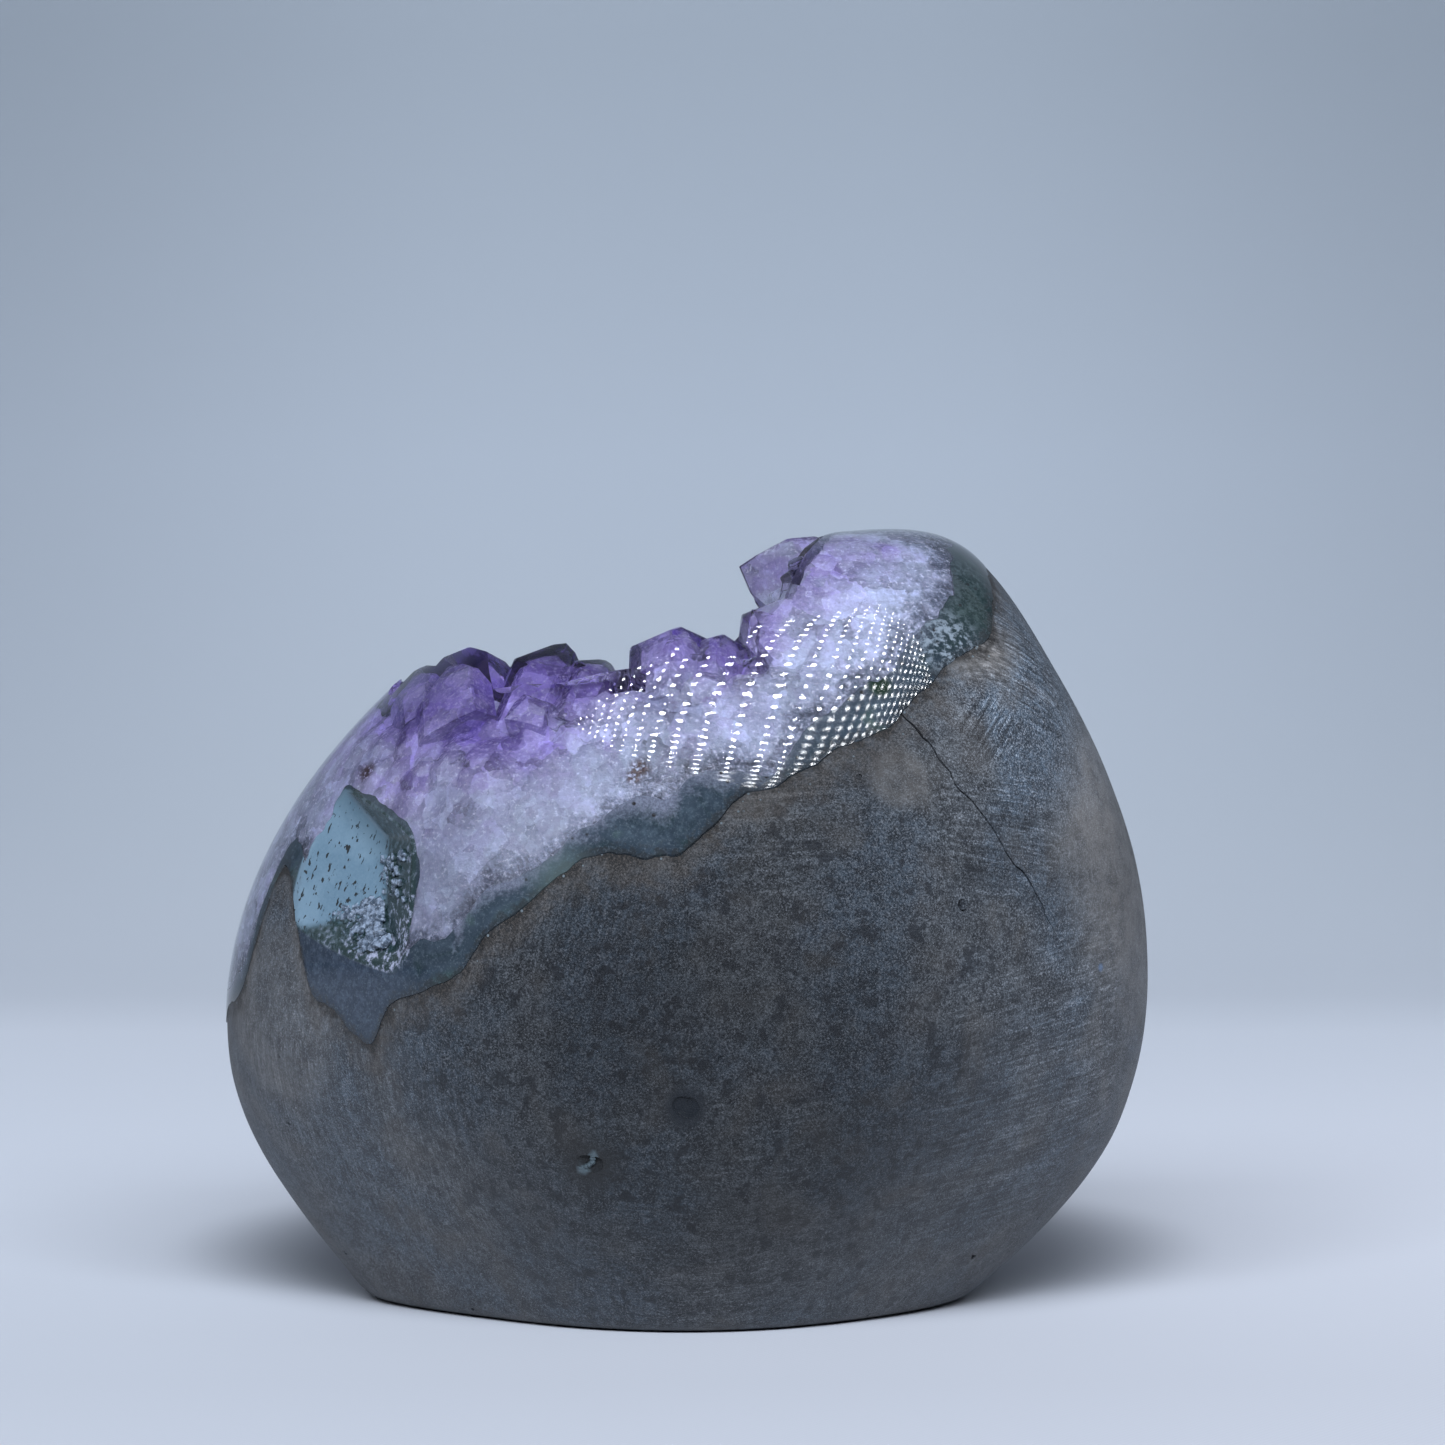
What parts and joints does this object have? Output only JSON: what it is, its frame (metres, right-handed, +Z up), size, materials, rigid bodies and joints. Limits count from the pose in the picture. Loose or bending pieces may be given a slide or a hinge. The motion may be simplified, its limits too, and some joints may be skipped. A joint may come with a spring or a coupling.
{
  "type": "amethyst druzy freeform",
  "caption": "Hand-sized polished stone freeform: a dark basalt base holding a geode crust whose open top pocket is lined with amethyst crystals. Stands on its flat base.",
  "frame": {"origin": "middle of the stone's outline on the plane that it stands on", "axes": "+Z up out of the open pocket, +X along the length towards the high peak, +Y towards the back"},
  "size_m": [0.0923, 0.0756, 0.0774],
  "materials": {
    "basalt": "satin ground",
    "amethyst": "polished and naturally glossy"
  },
  "bodies": {
    "root": {"basalt_matrix": "basalt", "amethyst_druse": "amethyst"}
  },
  "joints": []
}
